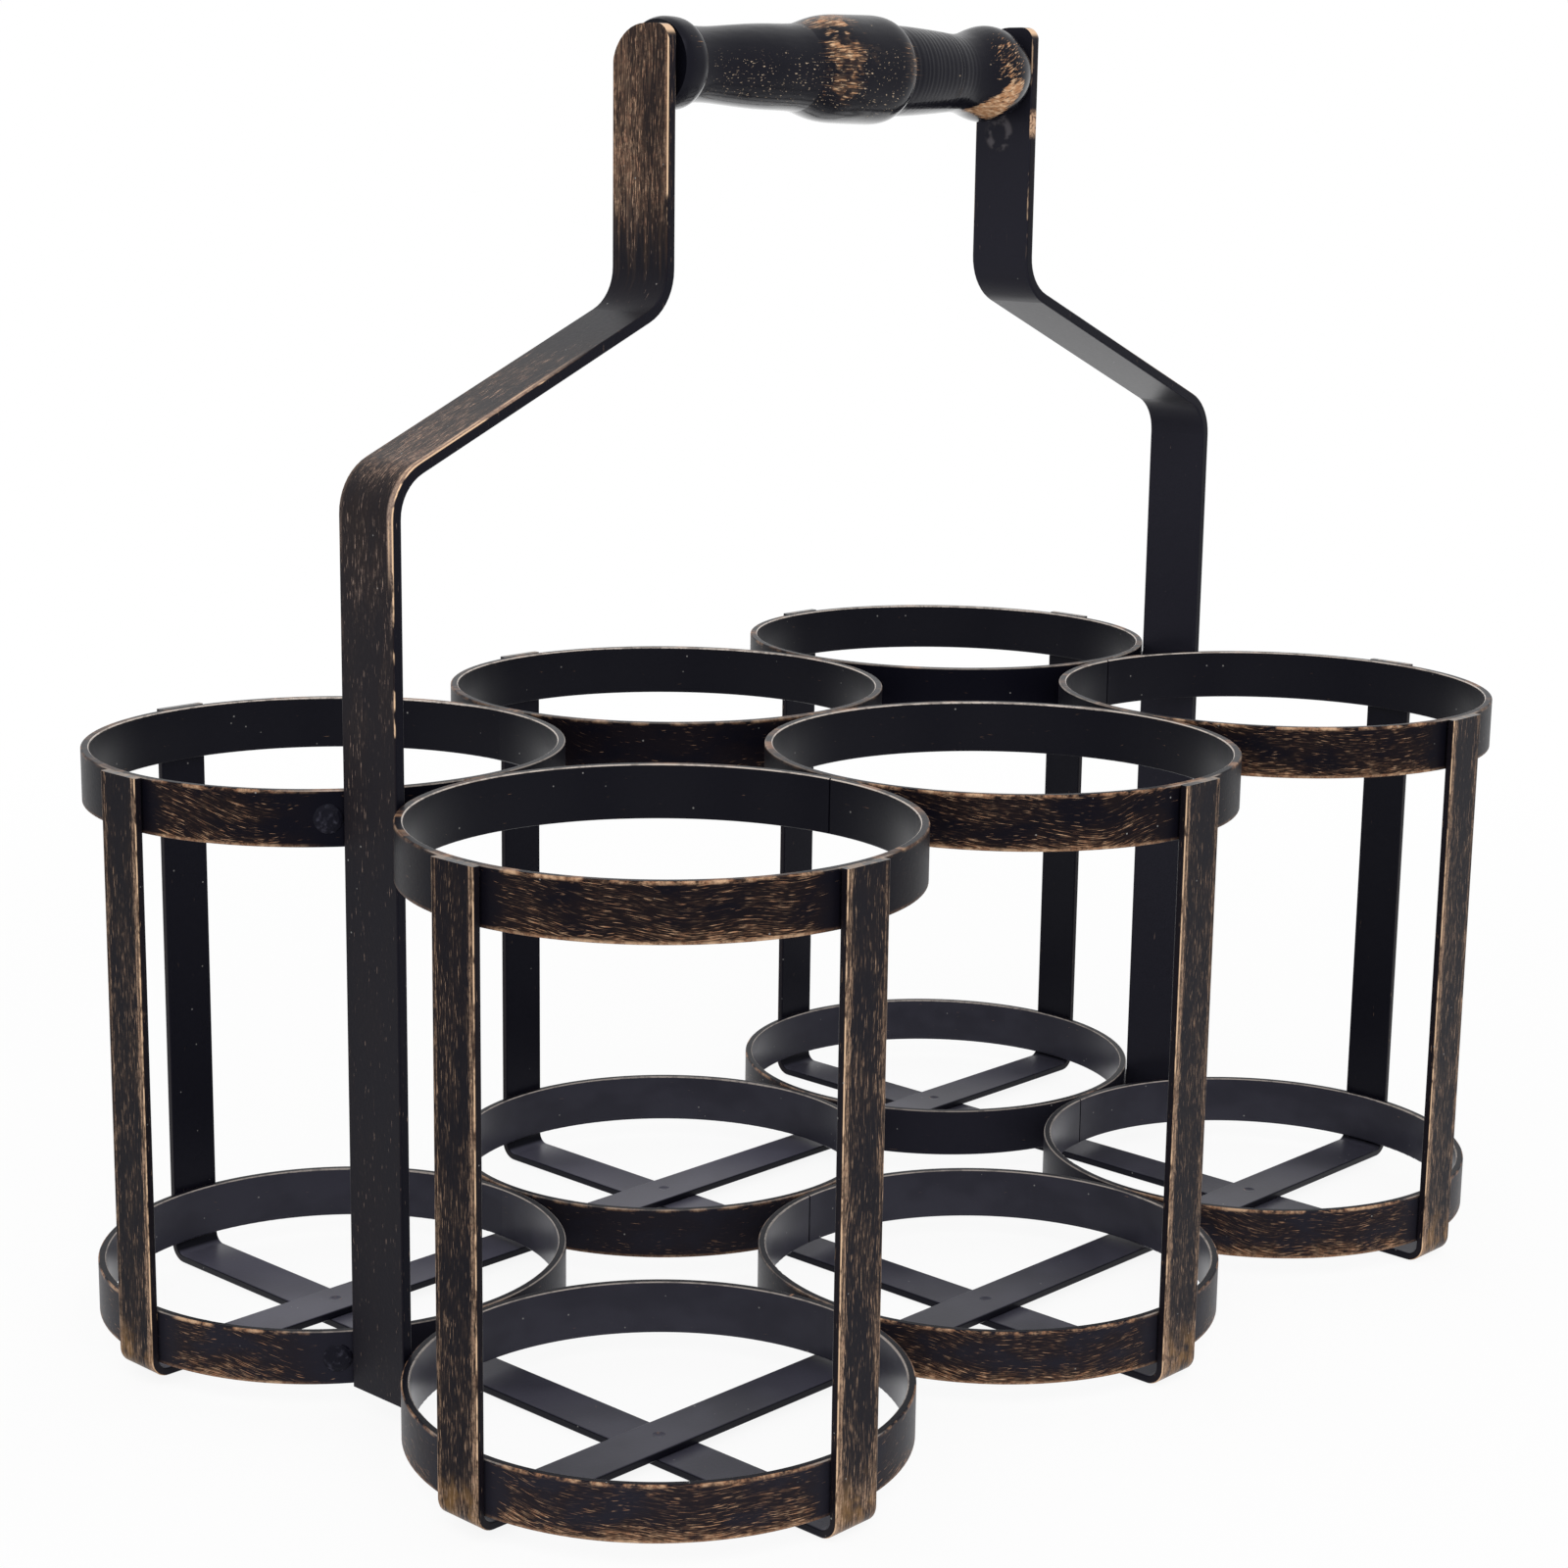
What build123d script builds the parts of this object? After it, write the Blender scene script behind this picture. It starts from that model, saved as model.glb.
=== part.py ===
from build123d import *
import os
from math import sqrt

# A bottle caddy of welded strip steel: six ring cups in two rows of three, a strap handle bent
# up from the two ends and a turned grip that spins on the rod between the straps.
# Lengths are in millimetres and angles in degrees. X runs along the handle, Y across the two
# rows and Z up. The origin is on the ground under the middle of the caddy.

# Cups
columns = ("left", "mid", "right")
rows = ("front", "back")
ring_outer_diameter = 88.0
ring_thickness = 1.5
ring_band_height = 10.0
ring_edge_radius = 0.3
ring_gap = 0.2
cup_height = 107.8

# Where each ring's ends meet: the angle round the cup from X to the shallow line inside the ring.
# Bottom rings meet next to the other row, and so do the top rings that no angle is given for.
row_seam_angles = {"front": 96.0, "back": -96.0}
top_seam_angles = {"front_left": 2.0, "front_mid": -96.0, "front_right": 90.0}
ring_seam_width = 0.35
ring_seam_depth = 0.3

# Strips under the cups, bent up as legs
strip_width = 10.0
strip_thickness = 1.5
strip_bend_radius = 2.0
strip_edge_radius = 0.3
leg_gap = 0.1
ring_lift = 1.2

# Handle straps
handle_width = 14.0
handle_thickness = 2.0
handle_bend_radius = 8.0
handle_edge_radius = 0.35
handle_gap = 0.1
handle_shoulder_height = 165.2
handle_neck_height = 192.6
handle_top_height = 240.6
right_strap_rise = 2.4
handle_front_corner_radius = 3.0
handle_back_corner_radius = 8.0

# Rod and grip
rod_diameter = 6.0
rod_drop = 6.7
grip_length = 96.0
grip_left_gap = 1.9
grip_right_gap = 0.5
grip_bore_clearance = 0.1
grip_barrel_radius = 10.05

# Welds
ring_weld_length = 8.0
ring_weld_inset = 0.4
ring_weld_facets = 120
spot_radius = 2.6
spot_height = 0.5
spot_offset = 2.4
crossing_mark_radius = 1.2
crossing_mark_depth = 0.3
cut_overrun = 1.0

# Outline of the grip from its left end: places as shares of the grip's length, radii as shares
# of the barrel's. Each tuple is one turned form, and a short step leads from one to the next
# where their ends differ.
left_bead_shares = ((0.0, 0.756), (0.010, 0.796), (0.031, 0.808), (0.049, 0.786), (0.057, 0.751))
left_taper_shares = (
    (0.063, 0.687),
    (0.086, 0.665),
    (0.123, 0.662),
    (0.180, 0.70),
    (0.232, 0.738),
    (0.284, 0.763),
    (0.336, 0.773),
    (0.368, 0.791),
)
barrel_shares = (
    (0.368, 0.791),
    (0.389, 0.837),
    (0.409, 0.892),
    (0.441, 0.957),
    (0.482, 0.985),
    (0.524, 0.993),
    (0.566, 1.0),
    (0.592, 0.993),
    (0.607, 0.967),
    (0.618, 0.920),
)
right_taper_shares = (
    (0.624, 0.836),
    (0.649, 0.841),
    (0.691, 0.829),
    (0.743, 0.799),
    (0.795, 0.761),
    (0.831, 0.736),
    (0.857, 0.753),
)
right_bead_shares = (
    (0.857, 0.753),
    (0.883, 0.806),
    (0.909, 0.881),
    (0.935, 0.920),
    (0.961, 0.891),
    (0.982, 0.821),
    (1.0, 0.726),
)

# Outline of a weld spot from its rim to its middle: shares of its radius and of its height
spot_shares = ((1.0, 0.0), (0.92, 0.40), (0.68, 0.80), (0.32, 0.97), (0.0, 1.0))

# Heights from the ground up
cross_strap_level = strip_thickness / 2
long_strap_level = strip_thickness + strip_thickness / 2
floor_height = strip_thickness + strip_thickness
cup_foot = floor_height + ring_lift
rim_height = cup_foot + cup_height
bottom_ring_level = cup_foot + ring_band_height / 2
top_ring_level = rim_height - ring_band_height / 2
rod_height = handle_top_height - rod_drop

# Cup axes
pitch = ring_outer_diameter + ring_gap
ring_radius = ring_outer_diameter / 2
column_places = {
    name: (index - (len(columns) - 1) / 2) * pitch for index, name in enumerate(columns)
}
row_places = {name: (index - (len(rows) - 1) / 2) * pitch for index, name in enumerate(rows)}
end_column = column_places["right"]
back_row = row_places["back"]

# Where the handle straps stand: in the notch between the two end rings
strap_edge = handle_width / 2
notch_reach = sqrt(ring_radius**2 - (back_row - strap_edge) ** 2)
handle_foot = end_column + notch_reach + handle_gap + handle_thickness / 2
rod_length = grip_left_gap + grip_length + grip_right_gap
grip_left_end = grip_left_gap - rod_length / 2
handle_neck = rod_length / 2 + handle_thickness / 2


def bent_strip(plane, points, width, thickness, bend_radius, edge_radius):
    """A flat bar whose middle line runs through the points, bent at each corner."""
    path = plane * FilletPolyline(*points, radius=bend_radius + thickness / 2)
    start = Plane(origin=path @ 0, x_dir=plane.z_dir, z_dir=path % 0)
    return sweep(start * RectangleRounded(width, thickness, edge_radius), path=path)


def strap_with_legs(plane, half_length, level):
    """A strip that runs under a row of cups and stands up as a leg at each end."""
    points = (
        (-half_length, rim_height),
        (-half_length, level),
        (half_length, level),
        (half_length, rim_height),
    )
    return bent_strip(
        plane, points, strip_width, strip_thickness, strip_bend_radius, strip_edge_radius
    )


def leg_line(row_end):
    """How far out the middle of a leg's thickness stands, past the end ring of a row."""
    return row_end + ring_radius + leg_gap + strip_thickness / 2


def ring():
    """One band of a cup, centred on the origin."""
    wall = ring_radius - ring_thickness / 2
    section = Plane.XZ * Pos(wall, 0) * RectangleRounded(
        ring_thickness, ring_band_height, ring_edge_radius
    )
    return revolve(section, Axis.Z)


def seamed_ring(angle):
    """A band with the shallow line on its inside where the rolled strip's ends meet."""
    inner_wall = ring_radius - ring_thickness
    seam = Box(ring_seam_depth + cut_overrun, ring_seam_width, ring_band_height + cut_overrun)
    reach = inner_wall + ring_seam_depth - (ring_seam_depth + cut_overrun) / 2
    return ring() - Rot(0, 0, angle) * Pos(reach, 0, 0) * seam


def crossing_mark():
    """The cutter for the round dimple that a spot weld leaves where two strips cross."""
    ball = (crossing_mark_radius**2 + crossing_mark_depth**2) / (2 * crossing_mark_depth)
    return Pos(0, 0, floor_height - crossing_mark_depth + ball) * Sphere(ball)


def cup_place(column, row, level):
    """The middle of one cup at a height."""
    return Pos(column_places[column], row_places[row], level)


def ring_welds(level):
    """The filler between neighbouring bands at one level, with flat facets against their walls."""
    walls = RegularPolygon(ring_radius, ring_weld_facets, major_radius=False)
    band = Pos(0, 0, ring_band_height / -2) * extrude(walls, ring_band_height)
    bands = [cup_place(column, row, level) * band for column in columns for row in rows]
    height = ring_band_height - 2 * ring_weld_inset
    width = ring_gap + ring_thickness
    along_rows = Box(width, ring_weld_length, height)
    across_rows = Box(ring_weld_length, width, height)
    between_columns = [place + pitch / 2 for place in list(column_places.values())[:-1]]
    beads = [Pos(x, y, level) * along_rows for x in between_columns for y in row_places.values()]
    beads += [Pos(x, 0, level) * across_rows for x in column_places.values()]
    return Compound(children=[solid for bead in beads for solid in (bead - bands).solids()])


def handle_strap(top_height):
    """A right-hand strap: up from the notch, in over the end cups and up past the grip."""
    points = (
        (handle_foot, cup_foot),
        (handle_foot, handle_shoulder_height),
        (handle_neck, handle_neck_height),
        (handle_neck, top_height),
    )
    strap = bent_strip(
        Plane.XZ, points, handle_width, handle_thickness, handle_bend_radius, handle_edge_radius
    )
    outline = Plane.YZ * Pos(0, top_height / 2) * Rectangle(handle_width, top_height)
    top = outline.vertices().group_by(Axis.Z)[-1].sort_by(Axis.Y)
    outline = fillet(top[0], handle_front_corner_radius)
    top = outline.vertices().group_by(Axis.Z)[-1].sort_by(Axis.Y)
    outline = fillet(top[-1], handle_back_corner_radius)
    return strap & extrude(outline, handle_foot + handle_thickness)


def weld_spot():
    """A low round spot of weld, standing on its flat side."""
    outline = [(spot_radius * across, spot_height * up) for across, up in spot_shares]
    return revolve(Plane.XZ * make_face(Polyline((0, 0), *outline, close=True)), Axis.Z)


def handle_welds(strap):
    """The spots where the right-hand strap's edges are welded to the end rings."""
    reach = back_row - strap_edge - spot_offset
    spots = []
    for row, side in (("front", 1), ("back", -1)):
        wall = Vector(sqrt(ring_radius**2 - reach**2), side * reach)
        for level in (bottom_ring_level, top_ring_level):
            seat = cup_place("right", row, level) * Plane(origin=wall, z_dir=wall).location
            spots += (seat * weld_spot() - strap).solids()
    return spots


def turned_form(shares):
    """One turned form of the grip's outline, as a smooth line."""
    points = [
        (grip_left_end + grip_length * place, grip_barrel_radius * radius)
        for place, radius in shares
    ]
    return Spline(*points)


def grip():
    """The turned grip, bored for the rod and lying along X."""
    forms = [
        turned_form(shares)
        for shares in (
            left_bead_shares,
            left_taper_shares,
            barrel_shares,
            right_taper_shares,
            right_bead_shares,
        )
    ]
    outline = list(forms)
    for before, after in zip(forms, forms[1:]):
        if (before @ 1 - after @ 0).length > 0:
            outline.append(Line(before @ 1, after @ 0))
    bore = rod_diameter / 2 + grip_bore_clearance
    right_end = grip_left_end + grip_length
    outline.append(
        Polyline(forms[0] @ 0, (grip_left_end, bore), (right_end, bore), forms[-1] @ 1)
    )
    return Pos(0, 0, rod_height) * revolve(Plane.XZ * make_face(outline), Axis.X)


def build():
    """Every piece of the caddy by its name."""
    pieces = {}
    for row in rows:
        for column in columns:
            name = f"{row}_{column}"
            bottom_seam = row_seam_angles[row]
            top_seam = top_seam_angles.get(name, bottom_seam)
            bottom, top = seamed_ring(bottom_seam), seamed_ring(top_seam)
            pieces[f"ring_bottom_{name}"] = cup_place(column, row, bottom_ring_level) * bottom
            pieces[f"ring_top_{name}"] = cup_place(column, row, top_ring_level) * top
        strap = strap_with_legs(Plane.XZ, leg_line(end_column), long_strap_level)
        marks = [Pos(x, 0, 0) * crossing_mark() for x in column_places.values()]
        pieces[f"long_strap_{row}"] = Pos(0, row_places[row], 0) * (strap - marks)
    for column in columns:
        strap = strap_with_legs(Plane.YZ, leg_line(back_row), cross_strap_level)
        pieces[f"cross_strap_{column}"] = Pos(column_places[column], 0, 0) * strap
    right_strap = handle_strap(handle_top_height + right_strap_rise)
    right_welds = Compound(children=handle_welds(right_strap))
    pieces["handle_strap_right"] = right_strap
    pieces["handle_strap_left"] = mirror(handle_strap(handle_top_height), Plane.YZ)
    pieces["handle_welds_right"] = right_welds
    pieces["handle_welds_left"] = mirror(right_welds, Plane.YZ)
    rod = Rot(0, 90, 0) * Cylinder(rod_diameter / 2, rod_length)
    pieces["handle_rod"] = Pos(0, 0, rod_height) * rod
    pieces["handle_grip"] = grip()
    pieces["ring_welds_bottom"] = ring_welds(bottom_ring_level)
    pieces["ring_welds_top"] = ring_welds(top_ring_level)
    return pieces


os.makedirs("parts", exist_ok=True)
for node, piece in build().items():
    export_step(piece, f"parts/{node}.step")
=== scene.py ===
import math

import bmesh
import bpy
from bpy.props import FloatProperty, FloatVectorProperty, PointerProperty
from mathutils import Matrix, Vector


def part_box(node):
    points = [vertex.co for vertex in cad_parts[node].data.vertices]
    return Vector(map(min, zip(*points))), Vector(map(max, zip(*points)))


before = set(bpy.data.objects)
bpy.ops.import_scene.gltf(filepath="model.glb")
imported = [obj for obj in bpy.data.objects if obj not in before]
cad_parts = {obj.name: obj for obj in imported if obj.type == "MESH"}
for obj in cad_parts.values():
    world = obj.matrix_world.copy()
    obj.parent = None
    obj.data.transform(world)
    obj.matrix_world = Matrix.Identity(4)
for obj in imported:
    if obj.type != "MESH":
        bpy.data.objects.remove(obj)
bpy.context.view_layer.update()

bl_info = {
    "name": "Bottle Caddy Finishes",
    "version": (1, 0, 0),
    "blender": (4, 5, 0),
    "location": "3D View > Sidebar > Caddy",
    "description": "Black paint with bronze dry brushing, and a lacquered grip, for a bottle caddy",
    "category": "Material",
}

MM = 1000.0  # millimetres in a metre


def middle(node, axis):
    """The middle of a node's box along one axis."""
    low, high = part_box(node)
    return (low[axis] + high[axis]) / 2 * MM


def far(node, axis):
    """The far side of a node's box along one axis."""
    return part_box(node)[1][axis] * MM


def half(node, axis):
    """Half of a node's size along one axis."""
    low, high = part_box(node)
    return (high[axis] - low[axis]) / 2 * MM


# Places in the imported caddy, in millimetres
PITCH = middle("ring_top_front_right", 0) - middle("ring_top_front_mid", 0)
RING_RADIUS = half("ring_top_front_mid", 0)
BAND_HALF = half("ring_top_front_mid", 2)
TOP_LEVEL = middle("ring_top_front_mid", 2)
FOOT_LEVEL = middle("ring_bottom_front_mid", 2)
LEG_HALF = half("long_strap_front", 1)
LEG_X = far("long_strap_front", 0)
LEG_Y = far("cross_strap_mid", 1)
RIM = far("long_strap_front", 2)
HANDLE_HALF = half("handle_strap_right", 1)
HANDLE_TOP = far("handle_strap_right", 2)
GRIP_LEVEL = middle("handle_grip", 2)

# Bands of height on the handle straps, in millimetres: where the brushing starts, is full,
# begins to fade and ends
SLOPE_BAND = (163.0, 168.0, 180.0, 190.0)
SHOULDER_BAND = (140.0, 160.0, 168.0, 178.0)
LOWER_BAND = (84.0, 140.0, 142.0, 162.0)
BEND_BAND = (146.0, 158.0, 177.0, 186.0)
GRAIN_STEP = (196.0, 212.0)  # where the heavy grain beside the grip starts and is full
HANDLE_LEAN = 0.654  # what each millimetre that a strap leans in adds to the run along it

# On the right handle strap, in millimetres
NICK_HEIGHT, NICK_REACH = 224.5, 3.2  # the worn nick in the front edge
SHELTER_STEP = (229.0, 234.0)  # below this the front edge is sheltered
# The weld's faint mark is a ring of painted highlight on the strap's inner face, standing in for
# the weld's relief
MARK_HEIGHT, MARK_SIDE, MARK_RADIUS = 222.6, 1.0, 2.6  # the faint mark of a weld

# Rubbed patches of the grip: place and reach along it in millimetres, turn and spread round
# it in degrees, and strength
CREST_PATCHES = (
    (-6.4, 8.0, 70.0, 28.0, 1.0),
    (-7.0, 6.6, 19.0, 25.0, 1.0),
    (-6.8, 6.2, -20.0, 21.0, 0.85),
    (-6.4, 3.2, 0.0, 75.0, 0.62),
    (-1.5, 7.0, 17.0, 14.0, 0.5),
    (11.0, 3.5, 12.0, 45.0, 0.6),
    (-3.0, 9.0, 150.0, 40.0, 0.85),
    (2.0, 8.0, -130.0, 30.0, 0.75),
)
BEAD_PATCHES = (
    (41.0, 5.5, 24.0, 45.0, 1.0),
    (41.0, 4.0, 160.0, 60.0, 0.8),
    (40.5, 3.4, 4.0, 16.0, 1.25),
)
NICK_PATCHES = ((-44.0, 3.0, 25.0, 25.0, 1.0),)
GIRTH_PER_DEGREE = 0.16  # millimetres round the grip in one degree of turn
# The pale lines at these turned shoulders are painted highlights, where the curve of the lacquer
# would catch the light
BARREL_END, LEFT_BEAD_END = 12.3, -41.6  # the turned shoulders with a pale line
DEEP_RINGS = 27.6  # where the lathe's rings are deepest

# How the finishes answer the light, as shares
BRONZE_METAL = 0.35
PAINT_COAT_ROUGHNESS = 0.34
BARE_COAT_ROUGHNESS = 0.30
GRIP_COAT_ROUGHNESS = 0.12

# The stage, in metres and radians; the camera is fitted to the outlines of the rings
FLOOR_DROP = 0.0002
LAMP_PLACE = (-0.7, -0.9, 1.3)
LAMP_AIM = (0.0, 0.0, 0.1)
CAMERA_PLACE = (-0.43282, -0.39287, 0.22325)
CAMERA_YAW, CAMERA_PITCH, CAMERA_ROLL = 0.8200, 0.2120, 0.0142
CAMERA_NEAR, CAMERA_FAR = 0.02, 50.0
CAMERA_LENS, CAMERA_SENSOR = 70.09, 36.0  # millimetres
WHITE = (1.0, 1.0, 1.0, 1.0)


def linear(red, green, blue):
    """A colour picked on screen, as the linear values that Blender takes."""
    return tuple(
        (c / 255 / 12.92) if c <= 10 else ((c / 255 + 0.055) / 1.055) ** 2.4
        for c in (red, green, blue)
    )


def colour(name, description, screen):
    return FloatVectorProperty(
        name=name,
        description=description,
        subtype="COLOR",
        size=3,
        min=0.0,
        max=1.0,
        default=linear(*screen),
    )


def share(name, description, default):
    return FloatProperty(
        name=name, description=description, subtype="FACTOR", min=0.0, max=1.0, default=default
    )


def length(name, description, default):
    return FloatProperty(
        name=name, description=description, unit="LENGTH", min=0.0, default=default
    )


class CaddyPaint(bpy.types.PropertyGroup):
    black: colour("Black", "The satin paint of the strips and rings", (14, 14, 22))
    dust: colour("Dust", "The tiny specks on plain paint", (150, 148, 145))
    # The worn edge colour paints the rims' pale lines, which are partly worn paint and partly a
    # painted highlight on their rounded edges
    worn: colour("Worn edge", "The pale line on the rims' inner edges", (212, 200, 190))
    # The film colour is a painted sheen: lighter, cooler paint on faces that look up and on the low
    # rings' walls, standing in for the light they catch from above and from the floor
    painted_sheen: colour("Film", "The light film of dust on faces that look up", (84, 83, 96))
    tint: colour("Reflection tint", "The cool tone of the paint's reflections", (236, 234, 255))
    roughness: share("Roughness", "How dull the satin paint is", 0.38)
    shine: share("Shine", "How much the paint mirrors", 0.11)
    peel: length("Peel", "Height of the paint's orange peel", 0.00002)
    turned: colour("Turned rod", "The scored lines round the rod", (60, 58, 58))


class CaddyBrush(bpy.types.PropertyGroup):
    bronze: colour("Bronze", "The dry-brushed strokes", (170, 126, 96))
    pale: colour("Pale bronze", "The lines on worn edges", (232, 196, 160))
    brown: colour("Brown", "The thin haze between strokes", (33, 24, 21))
    ochre: colour("Ochre", "The patches at the feet", (142, 106, 60))
    brass: colour("Brass", "The yellower strokes of the legs", (182, 148, 102))
    ash: colour("Ash", "The greyer strokes low on the handle", (166, 150, 142))
    stroke_length: length("Stroke length", "Length of one stroke", 0.0036)
    stroke_width: length("Stroke width", "Width of one stroke", 0.00015)
    ring_cover: share("Ring cover", "How much of the rings is brushed", 0.75)
    leg_cover: share("Leg cover", "How much of the legs is brushed", 0.78)
    handle_cover: share("Handle cover", "How much of the handle straps is brushed", 0.95)


class CaddyGrip(bpy.types.PropertyGroup):
    lacquer: colour("Lacquer", "The glossy black of the grip", (15, 15, 22))
    gold: colour("Gold", "The rubbed patches of the grip", (182, 134, 96))
    pale_gold: colour("Pale gold", "The brightest flecks of the patches", (240, 206, 168))
    splash: colour("Splash", "The fine splashes on the lacquer", (222, 196, 166))
    roughness: share("Roughness", "How dull the lacquer is", 0.24)
    shine: share("Shine", "How much the lacquer mirrors", 0.13)
    ring_spacing: length("Ring spacing", "Distance between the lathe's rings", 0.00125)


class CaddyStage(bpy.types.PropertyGroup):
    floor_size: length("Floor size", "Side of the square floor", 8.0)
    floor: colour("Floor", "The pale floor", (246, 246, 246))
    grain: colour("Floor grain", "The slightly darker grain of the floor", (238, 238, 238))
    shadow: share("Shadow", "How much of the shadow the camera sees", 0.10)
    shadow_reach: length("Shadow reach", "How far from the caddy the shadow fades out", 0.6)
    room: FloatProperty(
        name="Room light", description="Strength of the light all round", min=0.0, default=0.8
    )
    lamp: FloatProperty(
        name="Lamp", description="Power of the soft lamp", unit="POWER", min=0.0, default=9.0
    )
    lamp_size: length("Lamp size", "Width of the soft lamp", 1.4)


class Wire:
    """A number on its way between nodes: a sum written with it adds a Math node."""

    def __init__(self, finish, socket):
        self.finish = finish
        self.socket = socket

    def __add__(self, other):
        return self.finish.maths("ADD", self, other)

    def __radd__(self, other):
        return self.finish.maths("ADD", other, self)

    def __sub__(self, other):
        return self.finish.maths("SUBTRACT", self, other)

    def __rsub__(self, other):
        return self.finish.maths("SUBTRACT", other, self)

    def __mul__(self, other):
        return self.finish.maths("MULTIPLY", self, other)

    def __rmul__(self, other):
        return self.finish.maths("MULTIPLY", other, self)

    def __truediv__(self, other):
        return self.finish.maths("DIVIDE", self, other)

    def __rtruediv__(self, other):
        return self.finish.maths("DIVIDE", other, self)

    def __neg__(self):
        return self.finish.maths("MULTIPLY", self, -1.0)

    def __abs__(self):
        return self.finish.maths("ABSOLUTE", self)

    def __gt__(self, other):
        return self.finish.maths("GREATER_THAN", self, other)

    def __lt__(self, other):
        return self.finish.maths("LESS_THAN", self, other)

    def at_least(self, other):
        return self.finish.maths("MAXIMUM", self, other)

    def at_most(self, other):
        return self.finish.maths("MINIMUM", self, other)

    def rise(self, low, high):
        """0 below low, 1 above high and a soft step between."""
        made = self.finish.node(
            "ShaderNodeMapRange",
            {"interpolation_type": "SMOOTHSTEP"},
            {"Value": self, "From Min": low, "From Max": high},
        )
        return Wire(self.finish, made.outputs["Result"])

    def fall(self, low, high):
        """1 below low, 0 above high and a soft step between."""
        return 1 - self.rise(low, high)

    def between(self, start, full, fade, end):
        """1 from full to fade, 0 before start and after end, with soft steps."""
        return self.rise(start, full) * self.fall(fade, end)

    def near(self, place, reach, core=0.3):
        """1 within the core, a share of the reach round a place, and 0 beyond the reach."""
        return (abs(self - place) / reach).fall(core, 1.0)


class Tree:
    """The nodes of a material or a world, started empty."""

    def __init__(self, owner):
        owner.use_nodes = True
        self.tree = owner.node_tree
        self.tree.nodes.clear()

    def node(self, kind, settings=None, values=None):
        """Adds a node: first its settings, then the values or links of its sockets."""
        made = self.tree.nodes.new(kind)
        for name, value in (settings or {}).items():
            setattr(made, name, value)
        for name, value in (values or {}).items():
            socket = made.inputs[name]
            if isinstance(value, Wire):
                value = value.socket
            if isinstance(value, bpy.types.NodeSocket):
                self.tree.links.new(value, socket)
            else:
                socket.default_value = value
        return made

    def maths(self, operation, *values):
        made = self.node(
            "ShaderNodeMath", {"operation": operation}, dict(enumerate(values))
        )
        return Wire(self, made.outputs[0])

    def backdrop(self):
        """1 for the rays that see the white background: the camera's, mirrored and through ones."""
        ray = self.node("ShaderNodeLightPath")
        seen, mirrored, through = (
            Wire(self, ray.outputs[name])
            for name in ("Is Camera Ray", "Is Glossy Ray", "Is Transmission Ray")
        )
        return seen, mirrored.at_least(through)


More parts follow.
